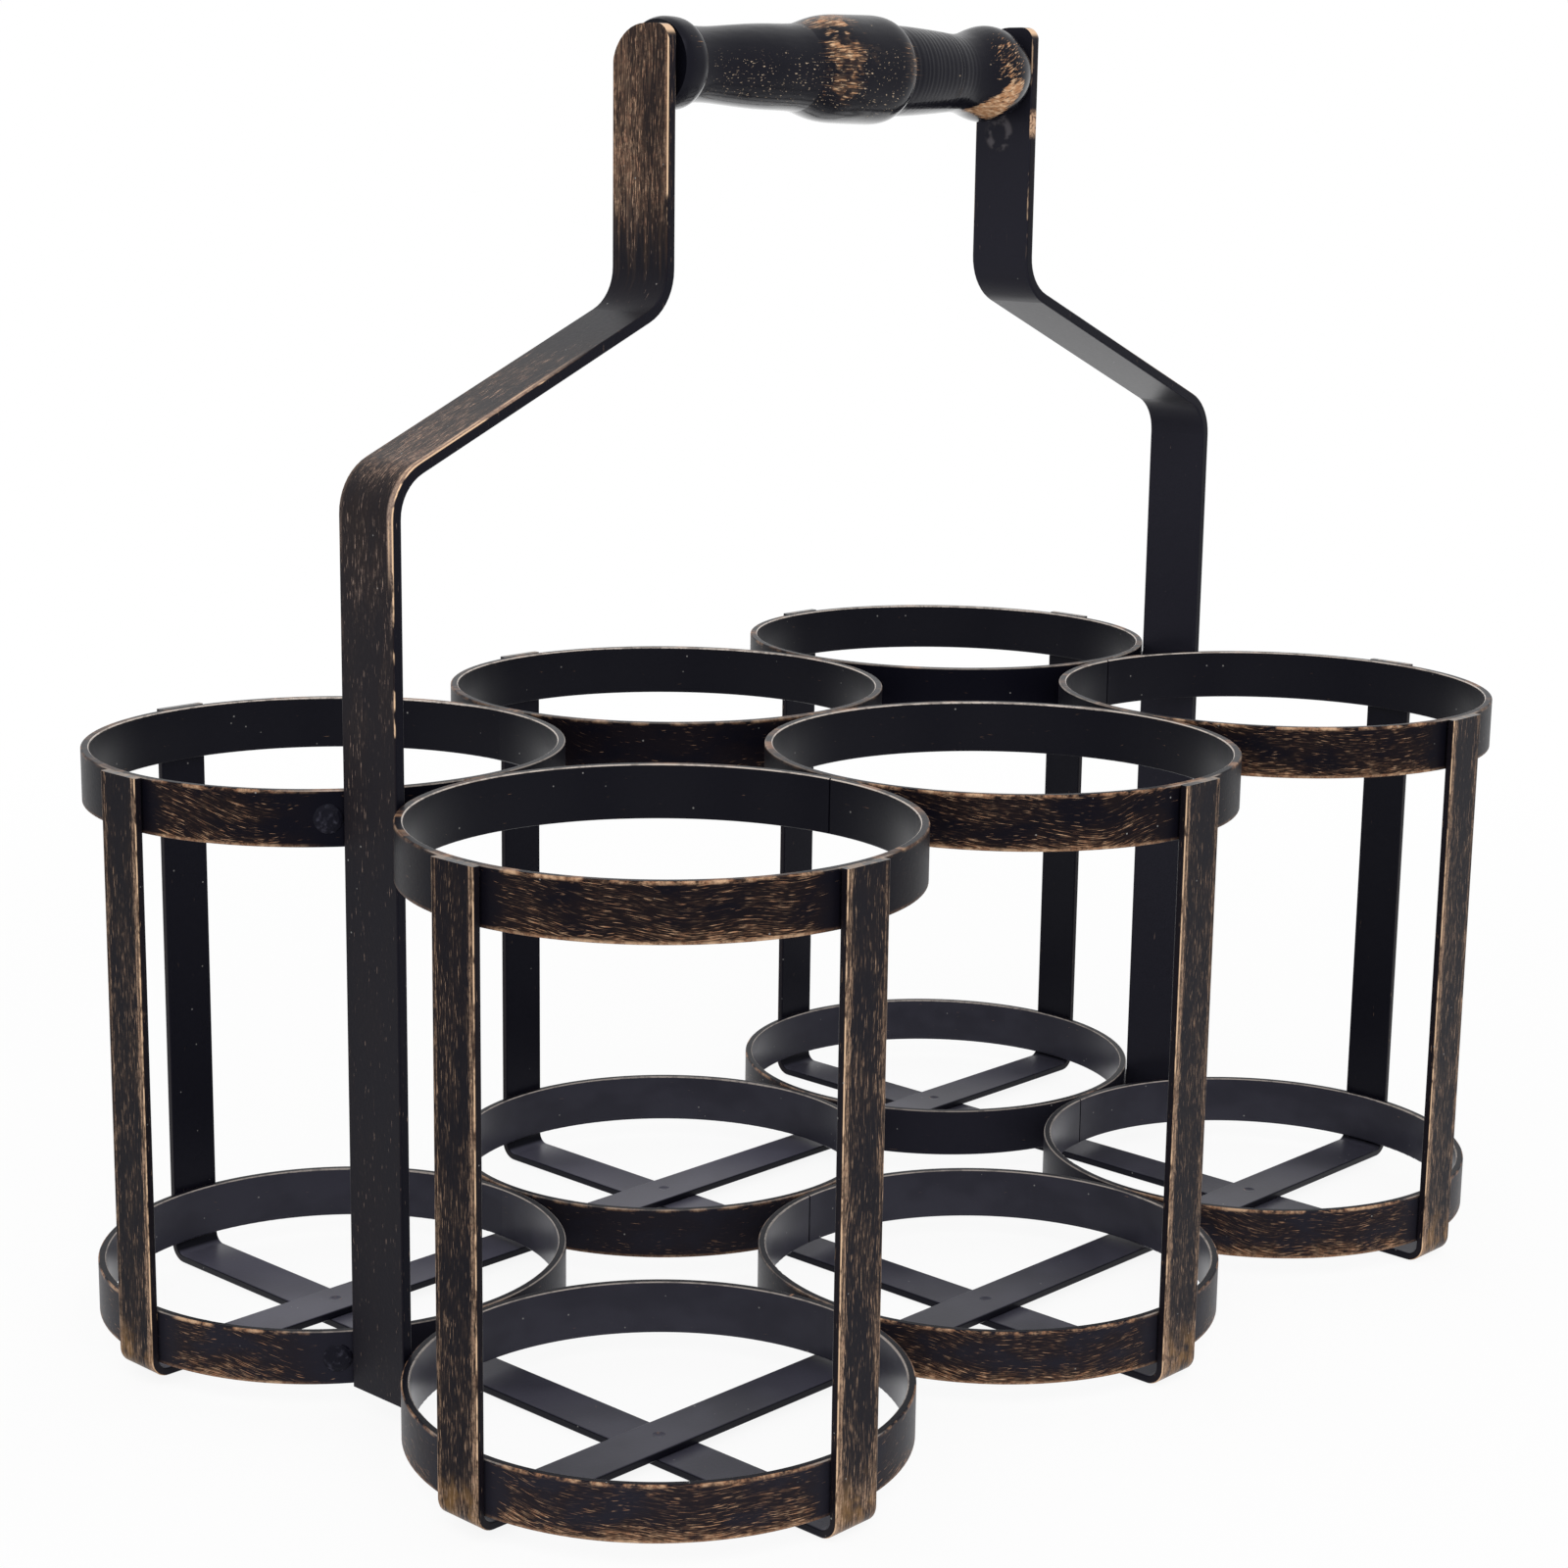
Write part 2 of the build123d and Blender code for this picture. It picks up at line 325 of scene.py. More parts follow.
class Finish(Tree):
    """A material, with the place and the direction of its surface at hand."""

    def __init__(self, name):
        self.material = bpy.data.materials.new(name)
        super().__init__(self.material)
        found = self.node("ShaderNodeTexCoord")
        place = self.parts(found.outputs["Object"])
        self.x, self.y, self.z = (axis * MM for axis in place)
        self.nx, self.ny, self.nz = self.parts(found.outputs["Normal"])

    def parts(self, vector):
        made = self.node("ShaderNodeSeparateXYZ", values={0: vector})
        return tuple(Wire(self, socket) for socket in made.outputs)

    def vector(self, *values):
        made = self.node("ShaderNodeCombineXYZ", values=dict(enumerate(values)))
        return made.outputs[0]

    def noise(self, *place, detail=2.0, roughness=0.55):
        """Soft noise between 0 and 1 at a place given in its own steps."""
        made = self.node(
            "ShaderNodeTexNoise",
            {"noise_dimensions": "3D"},
            {
                "Vector": self.vector(*place),
                "Scale": 1.0,
                "Detail": detail,
                "Roughness": roughness,
            },
        )
        return Wire(self, made.outputs[0])

    def dots(self, size, reach, *place):
        """Small round specks, one in each cell of that size, that reach a share of it."""
        made = self.node(
            "ShaderNodeTexVoronoi",
            {"feature": "F1"},
            {"Vector": self.vector(*(value / size for value in place)), "Scale": 1.0},
        )
        lot = self.parts(made.outputs["Color"])[0]
        near = Wire(self, made.outputs["Distance"])
        return near.fall(reach * 0.5, reach) * lot.rise(0.55, 0.6)

    def mix(self, factor, first, second):
        """A colour between two colours."""
        made = self.node("ShaderNodeMix", {"data_type": "RGBA"})
        for index, value in ((0, factor), (6, first), (7, second)):
            if isinstance(value, Wire):
                self.tree.links.new(value.socket, made.inputs[index])
            elif isinstance(value, bpy.types.NodeSocket):
                self.tree.links.new(value, made.inputs[index])
            elif index:
                made.inputs[index].default_value = (*value, 1.0)
            else:
                made.inputs[index].default_value = value
        return made.outputs[2]

    def bump(self, height):
        """A normal that follows a height given in metres."""
        made = self.node(
            "ShaderNodeBump", values={"Height": height, "Distance": 1.0, "Strength": 1.0}
        )
        return made.outputs[0]

    def glancing(self, low, high):
        """1 where the surface is seen at a glancing angle, for gloss alone."""
        made = self.node("ShaderNodeLayerWeight", values={"Blend": 0.5})
        return Wire(self, made.outputs["Facing"]).rise(low, high)

    def surface(self, colour, roughness, metallic, normal, shine, coat, coat_roughness):
        """Closes the material with one shader."""
        shader = self.node(
            "ShaderNodeBsdfPrincipled",
            values={
                "Base Color": colour,
                "Roughness": roughness,
                "Metallic": metallic,
                "Normal": normal,
                "Specular IOR Level": shine,
                "Specular Tint": (*bpy.context.scene.caddy_paint.tint, 1.0),
                "Coat Weight": coat,
                "Coat Roughness": coat_roughness,
            },
        )
        self.node("ShaderNodeOutputMaterial", values={"Surface": shader.outputs[0]})
        return self.material

    def strokes(self, along, across, seed, cover, stretch=1.0):
        """Dry brush strokes: a faint grain with bright hairs among it, 0 on bare paint."""
        brush = bpy.context.scene.caddy_brush
        long_step = brush.stroke_length * MM * stretch
        wide_step = brush.stroke_width * MM
        grain = self.noise(along / long_step, across / wide_step, seed, roughness=0.6)
        hairs = self.noise(
            along / (long_step * 0.85), across / wide_step, seed + 50, detail=1.0, roughness=0.5
        )
        edge = 0.74 - 0.27 * cover
        faint = grain.rise(edge, edge + 0.22) * 0.30
        edge = 0.79 - 0.205 * cover
        return faint.at_least(hairs.rise(edge, edge + 0.09))

    def grained(self, size, **settings):
        """Noise whose grains are of that size in millimetres, the same in all directions."""
        return self.noise(self.x / size, self.y / size, self.z / size, **settings)

    def chipped(self, size, low, high):
        """Fine chips of plain paint, as 0 where the brush missed."""
        return self.grained(size, roughness=0.6).rise(low, high)

    def painted(
        self, strokes, haze, lines, ochre=0.0, wear_and_glint=0.0, painted_sheen=0.0, brassy=0.0, ashen=0.0,
        gloss=1.0, sheen=0.0, shine=1.0,
    ):
        """Black paint under its layers, each a share from 0 to 1.

        From the lowest up, film is a painted sheen (lighter paint standing in for the light on
        faces that catch it), haze a thin brown, ochre the patches at the feet, strokes the
        bronze brushing, lines the worn edges, and bare the pale rim lines, partly rubbed paint
        and partly a painted highlight.
        brassy and ashen shift the bronze. gloss weighs the gloss at glancing angles, sheen
        adds an even one, and shine weighs how much the paint mirrors.
        """
        paint = bpy.context.scene.caddy_paint
        brush = bpy.context.scene.caddy_brush
        tone = self.grained(1.1, detail=1.0)
        # First a painted sheen: the paint lightened towards the film colour where light would catch
        # it
        base = self.mix(painted_sheen, paint.black, paint.painted_sheen)
        base = self.mix(haze, base, brush.brown)
        base = self.mix(ochre, base, brush.ochre)
        lively = self.mix(tone.rise(0.35, 0.7), brush.bronze, brush.pale)
        bronze = self.mix(0.45, brush.bronze, lively)
        bronze = self.mix(brassy, bronze, brush.brass)
        bronze = self.mix(ashen, bronze, brush.ash)
        base = self.mix(strokes, base, bronze)
        base = self.mix(lines, base, brush.pale)
        # The pale rim lines on top: partly worn paint, partly a painted highlight
        base = self.mix(wear_and_glint, base, paint.worn)
        specks = self.dots(3.0, 0.07, self.x, self.y, self.z)
        base = self.mix(specks * 0.8, base, paint.dust)
        peel = self.grained(0.7, detail=1.0)
        normal = self.bump(peel * paint.peel + strokes * 0.00001)
        bronzed = strokes.at_least(lines)
        roughness = paint.roughness + (peel - 0.5) * 0.1 + bronzed * 0.08
        coat = self.glancing(0.32, 1.0) * (1 - bronzed) * gloss * 0.8 + sheen
        return self.surface(
            base, roughness, bronzed * BRONZE_METAL, normal, paint.shine * shine,
            coat, PAINT_COAT_ROUGHNESS,
        )


def give(nodes, material):
    """Puts a material on every slot of the named nodes."""
    for name in nodes:
        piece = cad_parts[name]
        if not piece.material_slots:
            piece.data.materials.append(material)
        for place in piece.material_slots:
            place.material = material


def named(start):
    """The names of the nodes that start so."""
    found = [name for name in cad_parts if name.startswith(start)]
    if not found:
        raise RuntimeError(f"the caddy has no piece whose name starts with {start}")
    return found


class CADDY_OT_paint_rings(bpy.types.Operator):
    """Paints the twelve rings: strokes outside, plain paint inside"""

    bl_idname = "caddy.paint_rings"
    bl_label = "Paint the rings"

    def execute(self, context):
        cover = context.scene.caddy_brush.ring_cover
        finish = Finish("ring paint")
        x, y, z, nz = finish.x, finish.y, finish.z, finish.nz
        column = finish.maths("ROUND", x / PITCH)
        row = finish.maths("SIGN", y)
        from_x = x - column * PITCH
        from_y = y - row * (PITCH / 2)
        radius = finish.maths("SQRT", from_x * from_x + from_y * from_y)
        out_x, out_y = from_x / radius, from_y / radius
        outside = finish.nx * out_x + finish.ny * out_y
        turn = finish.maths("ARCTAN2", from_y, from_x)
        arc = turn * RING_RADIUS
        upper = z > (TOP_LEVEL + FOOT_LEVEL) / 2
        across = z - FOOT_LEVEL - upper * (TOP_LEVEL - FOOT_LEVEL)
        seed = column * 7.3 + row * 3.1 + upper * 5.7

        # Strokes cover the outward sides, and thin out at the notches at the handle straps,
        # beside the legs and on the slivers past them on the sides that show
        front = row * out_y
        end = column * out_x
        reached = front.at_least(end).rise(-0.3, 0.3)
        notch = (abs(y) + 12 * (y < 0)).rise(9.0, 19.0)
        notch = notch.at_least(end < 0.1)
        wander = finish.noise(arc / 6, across / 4, seed, detail=2.0)
        by_leg = (abs(from_x) + 100 * (front < 0.5)).at_most(abs(from_y) + 100 * (end < 0.5))
        clear = (by_leg + (wander - 0.5) * 7).rise(LEG_HALF, LEG_HALF + 6.0)
        skin = outside.rise(0.3, 0.7)
        past_leg = (out_x * out_y).fall(-0.12, 0.12) * (out_x + out_y).fall(-0.30, -0.05)
        brushed_side = 1 - past_leg * (0.35 + 0.35 * upper)
        zone = reached * notch * (0.15 + 0.85 * clear) * skin * brushed_side
        patch = finish.noise(arc / 9, across / 5, seed + 20, detail=2.0).rise(0.34, 0.58)
        low_edge = (-across).rise(BAND_HALF - 4.6 + upper, BAND_HALF - 0.2)
        top_edge = across.rise(BAND_HALF - 1.3, BAND_HALF - 0.2)

        # The strokes slant down on the left of each side, and up on its right
        bend = finish.noise(arc / 16, seed, 4.0, detail=0.0)
        swing = finish.maths("SINE", turn * 2 - 0.35) * 4.5
        steep = across + arc * 0.02 + swing + (bend - 0.5) * 5
        flat = across - arc * 0.07 + (bend - 0.5) * 4
        low_weight = 0.58 - 0.18 * upper
        heavy = zone * (cover * (0.42 + 0.58 * patch) + low_weight * low_edge + 0.20 * top_edge)
        light = zone * (cover * (0.62 - 0.30 * patch) + 0.35 * low_edge + 0.30 * top_edge)
        strokes = finish.strokes(arc, steep, seed, heavy)
        strokes = strokes.at_least(finish.strokes(arc, flat, seed + 80, light * 0.92, 0.8))
        strokes = strokes * (0.62 + 0.28 * finish.chipped(0.9, 0.38, 0.54))

        # Worn edges, and pale rim lines that are partly worn paint and partly a painted highlight
        broken = finish.noise(arc / 4, across / 3, seed + 9, detail=3.0, roughness=0.65)
        foot_line = (-across).rise(BAND_HALF - 0.8, BAND_HALF - 0.25) * outside.rise(0.1, 0.3)
        rim_line = across.rise(BAND_HALF - 0.75, BAND_HALF - 0.25) * outside.rise(0.1, 0.3)
        bronzed_edge = (foot_line * 0.55).at_least(rim_line * broken.rise(0.42, 0.56) * 0.75)
        bronzed_edge = bronzed_edge * reached * notch * (0.2 + 0.8 * clear) * brushed_side
        strokes = strokes.at_least(bronzed_edge * (0.45 + 0.55 * finish.chipped(0.4, 0.36, 0.52)))
        lines = foot_line * broken.rise(0.52, 0.64) * 0.4 + rim_line * broken.rise(0.54, 0.68) * 0.5
        lines = lines * reached * notch * (0.2 + 0.8 * clear) * brushed_side
        turning = nz.between(0.15, 0.4, 0.90, 0.99)
        inner_line = turning * (-outside).rise(0.1, 0.3)
        outer_line = turning * outside.rise(0.1, 0.3) * (1 - reached * notch * clear)
        # The pale lines on the rims' rounded edges are partly worn paint and partly a painted
        # highlight
        wear_and_glint = (inner_line * (0.55 + 0.40 * upper)).at_least(outer_line * 0.45)
        wear_and_glint = wear_and_glint * (0.55 + 0.45 * broken.rise(0.36, 0.5))
        rubbed = finish.noise(arc / 12, seed, 7.0, detail=3.0).rise(0.50, 0.60)
        rim_top = across.rise(BAND_HALF - 0.35, BAND_HALF - 0.1) * upper
        strokes = strokes.at_least(rim_top * rubbed * (0.15 + 0.45 * broken.rise(0.45, 0.6)))

        # Haze between the strokes, a painted sheen on the low rings, lighter paint standing in for
        # the light their walls catch from the floor and the room, and gloss on the plain faces
        haze = (zone * (0.10 + 0.45 * patch) + 0.4 * low_edge * zone).at_most(0.9)
        cloud = finish.noise(arc / 14, across / 9, seed + 30, detail=2.0)
        inside = (-outside).rise(0.3, 0.7)
        painted_sheen = inside * (1 - upper) * (0.29 + 0.10 * cloud.rise(0.4, 0.65))
        painted_sheen = painted_sheen.at_least(skin * (1 - upper) * 0.15)
        gloss = (1.1 - outside.rise(-0.2, 0.6)) * (1 - 0.7 * nz.rise(0.7, 0.95))
        painted = finish.painted(
            strokes,
            haze,
            lines,
            wear_and_glint=wear_and_glint,
            painted_sheen=painted_sheen,
            gloss=gloss,
            sheen=inside * 0.14,
            shine=0.35,
        )
        give(named("ring_top") + named("ring_bottom"), painted)
        return {"FINISHED"}


def paint_strap(context, name, nodes, along_x):
    """Paints the straps that bend up as legs, along X or along Y."""
    cover = context.scene.caddy_brush.leg_cover
    finish = Finish(name)
    x, y, z, nz = finish.x, finish.y, finish.z, finish.nz
    if along_x:
        run, side, n_run, n_side, reach = x, y, finish.nx, finish.ny, LEG_X
        across = side - finish.maths("SIGN", side) * (PITCH / 2)
    else:
        run, side, n_run, n_side, reach = y, x, finish.ny, finish.nx, LEG_Y
        across = side - finish.maths("ROUND", side / PITCH) * PITCH
    end = finish.maths("SIGN", run)
    outside = n_run * end
    along = abs(run) - z
    seed = finish.maths("ROUND", side / PITCH * 2) * 5.3 + end * 2.9 + 11.0
    on_leg = (abs(run) - reach).rise(-4.0, -2.0)
    low = z.fall(4.0, 13.0)
    skin = (outside - nz * 0.7).rise(0.25, 0.6) * on_leg
    flank = abs(n_side).rise(0.7, 0.95) * on_leg

    # Short strokes run along the leg, thicker towards its edges
    patch = finish.noise(along / 12, across / 4, seed, detail=2.0).rise(0.36, 0.60)
    edge = abs(across).rise(LEG_HALF - 2.1, LEG_HALF - 0.5)
    keen = 0.72 + 0.28 * finish.maths("SIGN", across * end)
    sway = finish.noise(along / 14, seed, 2.0, detail=0.0)
    least = 0.60 if along_x else 0.70
    dense = least + 0.42 * patch - 0.20 * z.rise(RIM - 34.0, RIM - 6.0)
    amount = skin * (cover * dense + 0.85 * edge * keen + 0.40 * low) + flank * 0.35
    slanted = across + (sway - 0.5) * 2.0 + (abs(run) - reach)
    strokes = finish.strokes(along, slanted, seed, amount, 0.95)
    strokes = strokes * (0.45 + 0.38 * finish.chipped(0.7, 0.38, 0.54))

    # A bronze band with a pale core runs down both edges, stronger on one of them
    rounding = abs(n_side).between(0.15, 0.4, 0.75, 0.95)
    broken = finish.noise(along / 5, across / 2, seed + 5, detail=3.0, roughness=0.65)
    band = abs(across).near(LEG_HALF - 0.95, 0.20) * skin
    band = band.at_least(rounding * outside.rise(0.05, 0.2)) * broken.rise(0.36, 0.52) * keen
    strokes = strokes.at_least(band * (0.30 + 0.50 * finish.chipped(0.6, 0.40, 0.54)))
    lines = rounding * outside.rise(0.1, 0.3) * on_leg * broken.rise(0.40, 0.54) * keen * 0.85
    cap = nz.rise(0.3, 0.7) * z.rise(RIM - 1.5, RIM - 1.0)
    lines = lines.at_least(cap * broken.rise(0.45, 0.6) * 0.30)

    # Haze between the strokes, ochre at the feet, and a painted sheen on the floor straps'
    # tops, lighter paint standing in for the light they catch, brightest at the back right
    haze = (skin * (0.15 + 0.25 * patch + 0.3 * edge) + flank * 0.25).at_most(0.85)
    blot = finish.noise(along / 4, across / 3, seed + 8, detail=3.0)
    ochre = low * skin * blot.rise(0.40, 0.62) * 0.55
    cloud = finish.noise(x / 20, y / 20, 3.0, detail=2.0)
    behind = y.rise(-20.0, 30.0) * x.fall(20.0, 110.0)
    sheen_level = 0.34 + 0.22 * cloud.rise(0.35, 0.65) + 0.36 * behind
    painted_sheen = nz.rise(0.6, 0.9) * z.fall(5.0, 9.0) * sheen_level
    plain = 1 - skin
    painted = finish.painted(
        strokes,
        haze,
        lines,
        ochre,
        painted_sheen=painted_sheen,
        brassy=0.35,
        ashen=0.3,
        gloss=0.15 + 0.85 * plain,
        sheen=plain * 0.12 if along_x else 0.0,
        shine=0.45 if along_x else 0.9,
    )
    give(nodes, painted)
    return {"FINISHED"}


class CADDY_OT_paint_long_straps(bpy.types.Operator):
    """Paints the two straps that run the length of the caddy and their legs"""

    bl_idname = "caddy.paint_long_straps"
    bl_label = "Paint the long straps"

    def execute(self, context):
        return paint_strap(context, "long strap paint", named("long_strap"), True)


class CADDY_OT_paint_cross_straps(bpy.types.Operator):
    """Paints the three straps that run across the caddy and their legs"""

    bl_idname = "caddy.paint_cross_straps"
    bl_label = "Paint the cross straps"

    def execute(self, context):
        return paint_strap(context, "cross strap paint", named("cross_strap"), False)


class CADDY_OT_paint_handle_straps(bpy.types.Operator):
    """Paints the two handle straps: heavy bronze at the grip, little at the neck and low down"""

    bl_idname = "caddy.paint_handle_straps"
    bl_label = "Paint the handle straps"

    def execute(self, context):
        cover = context.scene.caddy_brush.handle_cover
        finish = Finish("handle paint")
        x, y, z, ny, nz = finish.x, finish.y, finish.z, finish.ny, finish.nz
        end = finish.maths("SIGN", x)
        right = x > 0
        outside = finish.nx * end * 0.8 + nz * 0.8
        along = z - abs(x) * HANDLE_LEAN
        seed = end * 4.7 + 31.0

        # How heavy the brush was at each height
        ragged = z + (finish.noise(along / 9, y / 1.1, seed, detail=2.0) - 0.5) * 26
        upper = ragged.rise(*GRAIN_STEP)
        slope = z.between(*SLOPE_BAND)
        shoulder = z.between(*SHOULDER_BAND)
        lower = z.between(*LOWER_BAND)
        inboard = abs(y).fall(HANDLE_HALF - 3.5, HANDLE_HALF - 0.5)
        patch = finish.noise(along / 16, y / 4.5, seed, detail=2.0).rise(0.36, 0.60)
        weight = upper * (0.72 + 0.30 * y.rise(-3.0, 5.0)) + slope * 0.66 + shoulder * 0.40
        weight = weight + lower * (0.30 + 0.26 * inboard * patch)
        weight = weight.at_most(1.15) * cover + 0.26 + 0.12 * z.fall(90.0, 130.0)
        skin = outside.rise(0.3, 0.6) * abs(ny).fall(0.6, 0.9)
        flank = abs(ny).rise(0.7, 0.95)
        sway = finish.noise(along / 15, seed, 6.0, detail=0.0)
        nicked = right * z.near(NICK_HEIGHT, NICK_REACH) * (-ny).rise(0.15, 0.5)
        amount = skin * weight * (0.72 + 0.28 * patch) + flank * (0.25 + 0.25 * upper)
        amount = amount * (1 - 0.6 * right * flank)
        run = along + (y + HANDLE_HALF) * slope * 0.4
        side = y + (sway - 0.5) * 1.5 + abs(x) * flank
        strokes = finish.strokes(run, side, seed, amount, 0.85)
        long_ones = finish.strokes(run, side, seed + 90, amount * upper * 0.8, 2.6)
        strokes = strokes.at_least(long_ones * upper)
        chips = finish.chipped(0.5, 0.38, 0.54)
        strokes = strokes * (0.40 + 0.60 * chips).at_least(upper * 0.5)
        strokes = strokes.at_least(nicked * (0.35 + 0.65 * chips))

        # Worn edges: the front one is the brightest
        rounding = abs(ny).between(0.15, 0.4, 0.75, 0.95)
        broken = finish.noise(along / 7, y / 2, seed + 5, detail=3.0, roughness=0.65)
        keen = 0.64 - 0.36 * finish.maths("SIGN", y)
        brushed = (upper + shoulder + slope * 0.6 + lower * 0.6).at_most(1.0)
        gate = 0.70 - 0.34 * brushed
        worn = outside.rise(0.1, 0.3) * broken.rise(gate, gate + 0.1) * keen
        sheltered = right * z.fall(*SHELTER_STEP) * (1 - nicked)
        worn = worn * (1 - 0.9 * sheltered)
        band = abs(y).rise(HANDLE_HALF - 1.2, HANDLE_HALF - 0.5) * skin.at_least(rounding)
        band = band * (0.45 + 0.55 * shoulder)
        strokes = strokes.at_least(band * worn * (0.25 + 0.50 * finish.chipped(0.4, 0.38, 0.52)))
        streak = finish.noise(along / 14, side / 0.55, seed + 40, detail=2.0).rise(0.42, 0.66)
        strokes = strokes.at_least(upper * skin * streak * (0.10 + 0.14 * y.rise(-3.0, 4.0)))
        inner = rounding * (-outside).rise(0.1, 0.3) * broken.rise(0.50, 0.6) * 0.55 * upper
        crown = nz.rise(0.25, 0.6) * z.rise(HANDLE_TOP - 9.0, HANDLE_TOP - 7.0)
        lines = (rounding * worn).at_least(inner).at_least(crown * broken.rise(0.46, 0.60) * 0.3)
        lines = lines.at_least(nicked * chips * 0.4)

        # Round the shoulder the front edge is rubbed wide, with a second pale line
        bend = z.between(*BEND_BAND) * skin
        wide = (-y).rise(HANDLE_HALF - 1.7, HANDLE_HALF - 1.1) * bend
        strokes = strokes.at_least(wide * (0.45 + 0.35 * chips))
        ridge = (-y).near(HANDLE_HALF - 1.0, 0.3) * bend
        lines = lines.at_least(ridge * broken.rise(0.38, 0.5) * 0.75)
        haze = upper * 1.3 + 0.7 * slope + 0.4 * lower + 0.7 * shoulder + 0.2
        haze = (haze * skin * (0.60 + 0.40 * patch) + flank * 0.2 * upper).at_most(1.0)

        # The faint round mark of a weld on the right strap, under the grip, drawn as a ring of
        # painted highlight in place of the weld's relief
        up, aside = z - MARK_HEIGHT, y - MARK_SIDE
        away = finish.maths("SQRT", up * up + aside * aside)
        smear = finish.noise(y / 2.5, z / 2.5, 8.0, detail=2.0).rise(0.40, 0.62)
        inside = (-outside).rise(0.3, 0.6)
        weld_mark_glint = right * inside * away.near(MARK_RADIUS, MARK_RADIUS / 2, core=0.2) * smear
        # The inner faces get a painted sheen, lighter paint standing in for the light they catch;
        # the weld's ring adds a painted highlight
        painted = finish.painted(
            strokes,
            haze,
            lines,
            wear_and_glint=weld_mark_glint * 0.08,
            painted_sheen=(weld_mark_glint * 0.42).at_least(inside * 0.11),
            ashen=0.65 - 0.50 * upper - 0.30 * slope,
            gloss=0.35 + 0.90 * inside,
        )
        give(named("handle_strap"), painted)
        return {"FINISHED"}


class CADDY_OT_paint_welds(bpy.types.Operator):
    """Paints the weld spots and the fillers between the rings"""

    bl_idname = "caddy.paint_welds"
    bl_label = "Paint the welds"

    def execute(self, context):
        paint = context.scene.caddy_paint
        finish = Finish("weld paint")
        lump = finish.grained(1.3, detail=4.0)
        # The lumps' crests are painted lighter in the film colour: a painted highlight on the
        # weld's bumps, which the bump below also shapes
        tone = finish.mix(lump.rise(0.50, 0.72) * 0.4, paint.black, paint.painted_sheen)
        normal = finish.bump(lump * 0.00015)
        roughness = 0.32 + lump * 0.12
        coat = finish.glancing(0.45, 0.95) * 0.4
        painted = finish.surface(
            tone, roughness, 0.0, normal, paint.shine, coat, BARE_COAT_ROUGHNESS
        )
        give(named("ring_welds") + named("handle_welds"), painted)
        return {"FINISHED"}


class CADDY_OT_paint_rod(bpy.types.Operator):
    """Paints the rod inside the grip"""

    bl_idname = "caddy.paint_rod"
    bl_label = "Paint the rod"

    def execute(self, context):
        paint = context.scene.caddy_paint
        finish = Finish("rod paint")
        turned = finish.noise(finish.x / 0.25, 0.0, 0.0, detail=2.0)
        tone = finish.mix(turned.rise(0.5, 0.8) * 0.4, paint.black, paint.turned)
        normal = finish.bump(turned * 0.00003)
        roughness = 0.35 + turned * 0.1
        coat = finish.glancing(0.5, 0.9) * 0.6
        painted = finish.surface(
            tone, roughness, 0.0, normal, paint.shine, coat, BARE_COAT_ROUGHNESS
        )
        give(["handle_rod"], painted)
        return {"FINISHED"}


